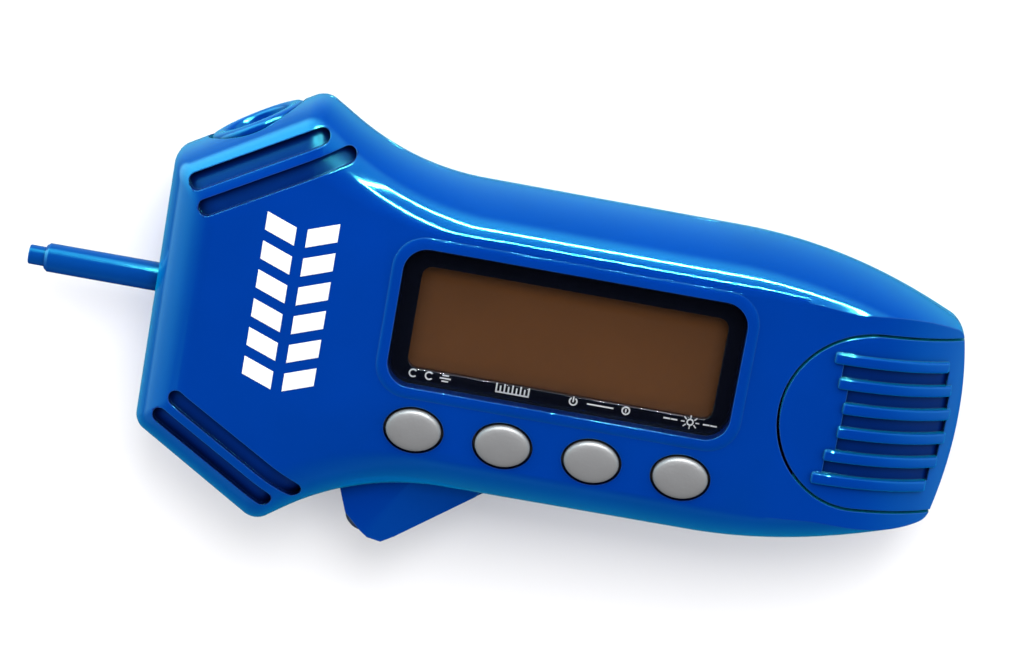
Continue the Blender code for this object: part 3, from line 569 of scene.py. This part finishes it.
def make_front_shell():
    shell = moulded_half("front_shell_fine", 0.0, THICKNESS - PARTING_Z, 1)
    spout = prism("spout_front", scaled(SPOUT_OUTLINE), PARTING_Z, SPOUT_HIGH_Z)
    cut(spout, spout_slope())
    join(shell, spout)
    cut(shell, tail_trim("shell_tail", 0.0))
    bead_steps = ((3.8, 4.6, 23.5), (3.6, 4.5, 24.02), (2.9, 4.2, 24.22), (1.9, 3.8, 24.28))
    join(shell, loft("window_bead", [
        (window_outline(wider * MM, radius * MM), height * MM) for wider, radius, height in bead_steps
    ]))
    cutters = [groove(*ends, side) for ends in GROOVES for side in (1, -1)]
    cut(shell, *cutters)
    hollow = moulded_half("front_hollow", WALL, THICKNESS - 2.3 * MM - PARTING_Z, 1, overrun=1 * MM)
    cut(hollow, tail_trim("hollow_tail", WALL))
    cut(shell, hollow)
    window = window_outline(2 * GAP, 3.3 * MM)
    cut(shell, prism("window_hole", window, FRONT_CUT_LOW_Z, FRONT_CUT_HIGH_Z))
    for index in range(len(KEY_NAMES)):
        hole = oval(KEY_LENGTH + KEY_PLAY, KEY_WIDTH + KEY_PLAY, KEY_FIRST_X + index * KEY_PITCH, KEY_Y)
        cut(shell, prism("key_hole", hole, FRONT_CUT_LOW_Z, FRONT_CUT_HIGH_Z))
    opening = u_outline(COVER_HALF_WIDTH + COVER_GAP, COVER_ARC_X, OUT_X)
    cut(shell, prism("cover_opening", opening, PARTING_Z - 1 * MM, TOP_Z))
    cut(shell, *shared_cutters())
    finish_piece(shell, "housing", "body_blue", "front_shell")
    # Painted shade on the upright walls of the openings and grooves, and on the groove floors.
    shade_faces(shell, lambda at, facing: (
        at.z > GROOVE_LOW_Z and at.x < TAIL_START_X - 2 * MM
        and (abs(facing.z) < 0.01 or (facing.z > 0 and in_groove(at)))
    ))


def make_back_shell():
    shell = moulded_half("back_shell_fine", 0.0, PARTING_Z, -1)
    join(shell, prism("spout_back", scaled(SPOUT_OUTLINE), SPOUT_LOW_Z, PARTING_Z))
    cut(shell, moulded_half("back_hollow", WALL, PARTING_Z - WALL, -1, overrun=1 * MM))
    for x, y in CASE_SCREWS:
        join(shell, post("boss", 3.2 * MM, 0.5 * MM, 12 * MM, x, y))
        cut(shell, post("recess", 2.4 * MM, -1 * MM, 4 * MM, x, y))
        cut(shell, post("way", 1.35 * MM, 3 * MM, 14 * MM, x, y))
    cut(shell, box("trim", (-OUT_X, -OUT_Y, PARTING_Z - GAP), (OUT_X, OUT_Y, PARTING_Z + 2 * MM)))
    cut(shell, *shared_cutters())
    return finish_piece(shell, "housing", "body_blue", "back_shell")


def make_cover():
    plate = u_outline(COVER_HALF_WIDTH, COVER_ARC_X, OUT_X)
    cover = prism("battery_cover_fine", plate, PARTING_Z + GAP, TOP_Z)
    skin = moulded_half("cover_skin", 0.0, THICKNESS - PARTING_Z, 1, overrun=1 * MM)
    cut(skin, tail_trim("cover_tail", 0.0))
    boolean(cover, "INTERSECT", skin)
    hollow = box("cover_hollow", (20 * MM, -14 * MM, 0), (53.7 * MM, 14 * MM, THICKNESS - COVER_SKIN))
    cut(hollow, tail_trim("cover_hollow_tail", COVER_SKIN))
    cut(cover, hollow)
    for index in range(len(RIB_STARTS) - 1):
        middle = (index + 0.5 - (len(RIB_STARTS) - 1) / 2) * RIB_PITCH
        half = (RIB_PITCH - RIB_WIDTH) / 2 + 0.1 * MM
        start = max(RIB_STARTS[index:index + 2]) + 0.2 * MM
        end = RIB_END_X - 0.4 * MM - middle ** 2 / (2 * RIB_END_RADIUS)
        floor = tail_arc(TAIL_RADIUS - VALLEY_DEPTH, start, end, 24)
        roof = tail_arc(TAIL_RADIUS + 3 * MM, start, end, 24)
        cut(cover, side_prism("valley", roof + floor[::-1], middle - half, middle + half))
    for index, start in enumerate(RIB_STARTS):
        middle = (index - (len(RIB_STARTS) - 1) / 2) * RIB_PITCH
        end = RIB_END_X - middle ** 2 / (2 * RIB_END_RADIUS)
        outer = tail_arc(TAIL_RADIUS + RIB_HEIGHT, start, end, 24)
        inner = tail_arc(TAIL_RADIUS - 1 * MM, start, end, 24)
        half = RIB_WIDTH / 2
        rib = side_prism("rib", outer + inner[::-1], middle - half, middle + half)
        soften = rib.modifiers.new("soften", "BEVEL")
        soften.width = 0.4 * MM
        soften.segments = 4
        soften.angle_limit = math.radians(40)
        join(cover, rib)
    finish_piece(cover, "cover", "body_blue", "battery_cover")
    # Painted shade on the floors of the valleys between the ribs.
    floor_radius = TAIL_RADIUS - VALLEY_DEPTH
    shade_faces(cover, lambda at, facing: (
        facing.z > 0.3 and abs(math.hypot(at.x - TAIL_START_X, at.z) - floor_radius) < 0.1 * MM
        and at.x > 37 * MM and at.x < 54 * MM
    ))


def make_keys():
    steps = (
        (-0.7, 20.2), (-0.7, 21.4), (-0.4, 21.6), (0.0, 21.6), (0.0, 24.2), (0.06, 24.42), (0.2, 24.58),
        (0.42, 24.68), (0.9, 24.76), (1.5, 24.82), (2.2, 24.86),
    )
    for index, name in enumerate(KEY_NAMES):
        centre = (KEY_FIRST_X + index * KEY_PITCH, KEY_Y)
        key = soft_prism(
            f"{name}_key_cap", centre,
            lambda inset: oval(KEY_LENGTH - 2 * inset, KEY_WIDTH - 2 * inset),
            [(inset * MM, height * MM) for inset, height in steps],
        )
        finish_piece(key, f"{name}_key", "key_grey", f"{name}_button", smooth=50)


def make_display():
    edge = ((0.0, 22.0), (0.0, 23.45), (0.08, 23.56), (0.22, 23.6))
    lens = loft("display_lens_fine", [
        (window_outline(-2 * inset * MM, (3 - inset) * MM), height * MM) for inset, height in edge
    ])
    finish_piece(lens, "housing", "clear_plastic", "display_lens")


def decal(name, outlines, z, thickness, slot="body_blue", material="print_white"):
    """Flat printed shapes joined into one thin piece."""
    bm = bmesh.new()
    for outline in outlines:
        lower = [bm.verts.new((x, y, z)) for x, y in outline]
        upper = [bm.verts.new((x, y, z + thickness)) for x, y in outline]
        count = len(outline)
        for index in range(count):
            after = (index + 1) % count
            bm.faces.new((lower[index], lower[after], upper[after], upper[index]))
        bm.faces.new(list(reversed(lower)))
        bm.faces.new(upper)
    return finish_piece(mesh_object(name, bm), "housing", slot, material=material)


def bar(x, y, length, width, angle=0.0):
    turn = Matrix.Rotation(angle, 2)
    corners = ((-1, -1), (1, -1), (1, 1), (-1, 1))
    return [tuple(Vector((x, y)) + turn @ Vector((sx * length / 2, sy * width / 2))) for sx, sy in corners]


def arc_band(x, y, radius, width, start, sweep, steps=20):
    angles = [start + sweep * step / steps for step in range(steps + 1)]
    outer = [(x + (radius + width / 2) * math.cos(a), y + (radius + width / 2) * math.sin(a)) for a in angles]
    inner = [(x + (radius - width / 2) * math.cos(a), y + (radius - width / 2) * math.sin(a)) for a in angles]
    return outer + inner[::-1]


def make_print():
    """Plain signs in place of the words under the display, and a tread pattern on the head."""
    # Millimetres, up to scaled().
    y, line, ring = -4.45, 0.2, 0.5
    closed = math.tau * 0.999
    mode_x, ruler_x, power_x, zero_x, light_x = -16.5, -5.1, 3.2, 10.4, 19.2
    # Two open rings and three strokes for the mode.
    signs = [arc_band(x, y, ring, line, math.radians(40), math.radians(280)) for x in (mode_x - 2.2, mode_x)]
    strokes = ((0.0, 1.5), (0.4, 0.9), (-0.4, 0.9))
    signs += [bar(mode_x + 2.2, y + rise, length, line) for rise, length in strokes]
    # A ruler for the unit.
    signs.append(bar(ruler_x, y - 0.5, 4.6, line))
    for step in range(9):
        rise, length = (-0.05, 0.9) if step % 2 else (0.1, 1.2)
        signs.append(bar(ruler_x + (step - 4) * 0.55, y + rise, line, length))
    # A power sign joined to a zero.
    signs.append(arc_band(power_x, y, ring, line, math.radians(120), math.radians(300)))
    signs.append(bar(power_x, y + 0.3, line, 0.8))
    signs.append(bar(6.9, y, 3.6, line))
    signs.append(arc_band(zero_x, y, ring, line, 0.0, closed))
    signs.append(bar(zero_x, y, line, 0.5))
    # A sun for the light.
    signs.append(arc_band(light_x, y, 0.4, line, 0.0, closed))
    for step in range(8):
        angle = math.tau * step / 8
        signs.append(bar(light_x + math.cos(angle), y + 0.72 * math.sin(angle), 0.5, 0.16, angle))
    signs += [bar(light_x + side * away, y, 0.9, line) for side in (-1, 1) for away in (2.2, 3.2)]
    decal("display_signs", [scaled(sign) for sign in signs], 21.7 * MM, 0.02 * MM, "black_gloss")
    middle_x, first_y, pitch, rise, height = -36.4, -9.6, 4.0, 1.5, 2.5
    blocks = []
    for row in range(6):
        low = first_y + row * pitch
        for side in (-1, 1):
            inner, outer = middle_x + side * 0.75, middle_x + side * 4.9
            corners = [(inner, low), (outer, low + rise), (outer, low + rise + height), (inner, low + height)]
            blocks.append(scaled(corners if side > 0 else corners[::-1]))
    decal("tread_mark", blocks, THICKNESS, 0.03 * MM)


def make_probe():
    front = ROD_REACH + TIP_LENGTH
    back = -31.5 * MM
    probe = turned(
        "tread_probe_fine",
        (
            (0.0, front), (TIP_RADIUS - 0.12 * MM, front), (TIP_RADIUS, front - 0.12 * MM),
            (TIP_RADIUS, ROD_REACH), (ROD_RADIUS - 0.35 * MM, ROD_REACH), (ROD_RADIUS, ROD_REACH - 0.45 * MM),
            (ROD_RADIUS, back), (0.0, back),
        ),
        PROBE_POINT, (-1, 0, 0),
    )
    finish_piece(probe, "probe", "probe_blue", "tread_probe")


def helix(name, start, end, radius, wire, turns, per_turn=40):
    curve = bpy.data.curves.new(name, "CURVE")
    curve.dimensions = "3D"
    curve.bevel_depth = wire
    curve.bevel_resolution = 4
    curve.use_fill_caps = True
    spline = curve.splines.new("POLY")
    count = turns * per_turn
    spline.points.add(count)
    for index, point in enumerate(spline.points):
        angle = math.tau * index / per_turn
        x = start + (end - start) * index / count
        point.co = (x, radius * math.cos(angle), PROBE_Z + radius * math.sin(angle), 1.0)
    guide = bpy.data.objects.new(name, curve)
    bpy.context.scene.collection.objects.link(guide)
    graph = bpy.context.evaluated_depsgraph_get()
    mesh = bpy.data.meshes.new_from_object(guide.evaluated_get(graph))
    bpy.data.objects.remove(guide, do_unlink=True)
    bpy.data.curves.remove(curve)
    obj = bpy.data.objects.new(name, mesh)
    bpy.context.scene.collection.objects.link(obj)
    return obj


def make_spring():
    start, end = SPRING_START_X + SPRING_WIRE, SPRING_ANCHOR_X - SPRING_WIRE
    spring = helix("probe_spring_fine", start, end, SPRING_RADIUS, SPRING_WIRE, SPRING_TURNS)
    finish_piece(spring, "housing", "spring_steel", "probe_spring", smooth=60)
    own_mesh(spring)


def make_socket():
    socket = turned(
        "valve_socket_fine",
        scaled((
            (4.6, -0.3), (4.75, -0.05), (5.05, 0.15), (5.8, 0.2), (6.3, 0.1), (6.65, -0.15), (6.8, -0.5),
            (6.8, -10.6), (1.7, -10.6), (1.7, -13), (0.6, -13), (0.6, -9.4), (4.6, -9.4), (4.6, -0.3),
        )),
        SOCKET_POINT, SOCKET_AXIS, steps=96,
    )
    finish_piece(socket, "housing", "body_blue", "valve_socket", smooth=40)


def make_torch():
    lens = turned(
        "torch_lens_fine",
        scaled((
            (0.0, 1.75), (0.5, 1.71), (0.95, 1.6), (1.35, 1.42), (1.7, 1.16), (2.0, 0.82), (2.2, 0.4),
            (2.3, -0.1), (2.3, -2.0), (0.0, -2.0),
        )),
        TORCH_POINT, TORCH_AXIS,
    )
    finish_piece(lens, "housing", "clear_plastic", "torch_lens", smooth=50, material="torch_glass")
    collar = turned(
        "torch_collar_fine",
        scaled(((2.6, 0.0), (2.75, 0.16), (3.1, 0.2), (3.3, 0.05), (3.3, -2.2), (2.6, -2.2), (2.6, 0.0))),
        TORCH_POINT, TORCH_AXIS,
    )
    finish_piece(collar, "housing", "black_plastic", "torch_collar", smooth=50, material="torch_collar")


def make_screws():
    for index, (x, y) in enumerate(CASE_SCREWS):
        screw = turned(
            f"case_screw_fine_{index + 1}",
            scaled((
                (0.0, 16), (0.3, 16), (0.95, 14.6), (0.95, 1.7), (2.1, 1.7), (2.1, 0.5), (1.8, 0.12),
                (1.2, 0.0), (0.0, 0.0),
            )),
            (x, y, SCREW_HEAD_Z), (0, 0, 1), steps=40,
        )
        for turn in (0.0, math.pi / 2):
            slot = prism("cross", bar(0.0, 0.0, 2.2 * MM, 0.45 * MM, turn + 0.5 + index), -1 * MM, 0.8 * MM)
            slot.location = (x, y, SCREW_HEAD_Z)
            cut(screw, slot)
        finish_piece(screw, "housing", "screw_steel", f"case_screw_{index + 1}")


make_front_shell()
make_back_shell()
make_cover()
make_keys()
make_display()
make_print()
make_probe()
make_spring()
make_socket()
make_torch()
make_screws()

# The pieces kept from the frame take their slot's finish.
FRAME_FINISH = {
    "probe_carriage": "white_plastic", "probe_guide": "white_plastic", "wiper_contact": "brass",
    "sensor_strip": "circuit_board", "valve_seal": "black_rubber", "valve_pin": "brass",
    "pressure_sensor": "black_plastic", "air_tube": "silicone", "torch_reflector": "reflector_chrome",
    "torch_led": "white_plastic", "display_frame": "black_gloss", "lcd_panel": "lcd_brown",
    "lcd_reflector": "white_plastic",
    "zebra_strip_upper": "black_rubber", "zebra_strip_lower": "black_rubber",
    "mode_switch": "black_plastic", "unit_switch": "black_plastic", "power_switch": "black_plastic",
    "light_switch": "black_plastic", "main_board": "circuit_board", "controller_chip": "black_plastic",
    "board_screw_1": "screw_steel", "board_screw_2": "screw_steel", "coin_cell": "cell_steel",
    "battery_tray": "black_plastic", "positive_contact": "spring_steel", "negative_contact": "spring_steel",
}
for node, finish in FRAME_FINISH.items():
    mesh = nodes[node].data
    mesh.materials.clear()
    mesh.materials.append(MATERIALS[finish])


# Floor, light and camera.

def set_shader(name, values):
    material, tree, shader = new_material(name)
    set_inputs(tree, shader, values)
    return material


FLOOR_REACH, FLOOR_THICKNESS = 3.0, 0.002
floor = box("floor", (-FLOOR_REACH, -FLOOR_REACH, -FLOOR_THICKNESS), (FLOOR_REACH, FLOOR_REACH, 0.0))
floor.data.materials.append(set_shader("floor_white", {
    "Base Color": (0.9, 0.895, 0.9, 1.0), "Roughness": 0.7, "Specular IOR Level": 0.1,
}))
floor.visible_glossy = False


def soft_light(name, location, size, power):
    """A square light that points at the object and stays out of its reflections."""
    light = bpy.data.lights.new(name, "AREA")
    light.shape = "SQUARE"
    light.size = size
    light.energy = power
    obj = bpy.data.objects.new(name, light)
    bpy.context.scene.collection.objects.link(obj)
    obj.location = location
    obj.rotation_euler = (-Vector(location)).to_track_quat("-Z", "Y").to_euler()
    obj.visible_glossy = False


def strip_frame(name, centre, upward, half_width, half_height, thickness, strength):
    """A thin glowing rectangle, level along X; only reflections show it."""
    centre, across, along = Vector(centre), Vector((1, 0, 0)), Vector(upward).normalized()
    outer = [(sx * half_width, sy * half_height) for sx, sy in ((-1, -1), (1, -1), (1, 1), (-1, 1))]
    inner = [(x - math.copysign(thickness, x), y - math.copysign(thickness, y)) for x, y in outer]
    bm = bmesh.new()
    rows = [[bm.verts.new(centre + across * x + along * y) for x, y in row] for row in (outer, inner)]
    for index in range(4):
        after = (index + 1) % 4
        bm.faces.new((rows[0][index], rows[0][after], rows[1][after], rows[1][index]))
    obj = mesh_object(name, bm)
    obj.data.materials.append(set_shader(name, {
        "Base Color": (0, 0, 0, 1), "Emission Color": (1, 1, 1, 1), "Emission Strength": strength,
    }))
    obj.visible_camera = False
    obj.visible_diffuse = False
    obj.visible_shadow = False


soft_light("key_light", (0.04, 0.42, 0.66), size=0.34, power=2.6)
strip_frame(
    "ring_light", (0.05, 0.55, 0.34), (0, -0.55, 0.85),
    half_width=0.16, half_height=0.12, thickness=0.005, strength=2500.0,
)

scene = bpy.context.scene
world = bpy.data.worlds.new("studio")
scene.world = world
world.use_nodes = True
tree = world.node_tree


def fade(source, low, high, to_low, to_high):
    return add_node(tree, "MapRange", {
        "Value": source, "From Min": low, "From Max": high, "To Min": to_low, "To Max": to_high,
    }, interpolation_type="SMOOTHSTEP").outputs["Result"]


def combine(operation, first, second):
    return add_node(tree, "Math", {0: first, 1: second}, operation=operation).outputs["Value"]


# A white room: dark straight above, bright walls, brightest on the +Y side. In reflections the -X wall is
# brighter than the +X wall, and below the walls it is dark, more so along the sides than past the ends.
ROOM_LEVEL = 0.72
direction = add_node(tree, "SeparateXYZ", {"Vector": add_node(tree, "TexCoord").outputs["Generated"]}).outputs
walls = fade(direction["Z"], 0.86, 0.25, 0.0, 1.0)
side = fade(direction["Y"], -0.6, 0.9, 0.5, 3.2)
room_light = combine("ADD", combine("MULTIPLY", walls, side), ROOM_LEVEL)
endward = combine("MULTIPLY", combine("MULTIPLY", direction["X"], direction["X"]), 0.5)
below = fade(combine("ADD", direction["Z"], endward), -0.1, 0.2, 0.12, 1.0)
mirrored_side = fade(direction["Y"], -0.6, 0.9, 0.15, 4.0)
end = fade(direction["X"], -0.7, 0.5, 2.8, 0.7)
mirrored_walls = combine("MULTIPLY", mirrored_side, end)
mirrored_light = combine("MULTIPLY", combine("MULTIPLY", walls, below), mirrored_walls)
mirrored = add_node(tree, "LightPath").outputs["Is Glossy Ray"]
level = add_node(tree, "Mix", {"Factor": mirrored, "A": room_light, "B": mirrored_light}, data_type="FLOAT")
colour = add_node(tree, "Mix", {
    "Factor": mirrored, "A": (1.0, 1.0, 1.0, 1.0), "B": (0.5, 0.92, 1.0, 1.0),
}, data_type="RGBA")
set_inputs(tree, tree.nodes["Background"], {
    "Strength": level.outputs["Result"], "Color": colour.outputs["Result"],
})

scene.view_settings.view_transform = "Standard"

CAMERA_TARGET = Vector((-6.7, 2.2, 12.0)) * MM
CAMERA_DISTANCE = 480 * MM
CAMERA_TILT, CAMERA_ROLL = math.radians(12.7), math.radians(-10.1)
CAMERA_LENS, CAMERA_SENSOR = 123.19, 36.0
back = Vector((0, math.sin(CAMERA_TILT), math.cos(CAMERA_TILT)))
right = Vector((0, 1, 0)).cross(back).normalized()
up = back.cross(right)
camera_x = right * math.cos(CAMERA_ROLL) - up * math.sin(CAMERA_ROLL)
camera_y = right * math.sin(CAMERA_ROLL) + up * math.cos(CAMERA_ROLL)
camera_data = bpy.data.cameras.new("camera")
camera_data.sensor_width = CAMERA_SENSOR
camera_data.lens = CAMERA_LENS
camera_data.clip_start = 0.01
camera = bpy.data.objects.new("camera", camera_data)
scene.collection.objects.link(camera)
rotation = Matrix((camera_x, camera_y, back)).transposed()
camera.matrix_world = Matrix.Translation(CAMERA_TARGET + back * CAMERA_DISTANCE) @ rotation.to_4x4()
scene.camera = camera
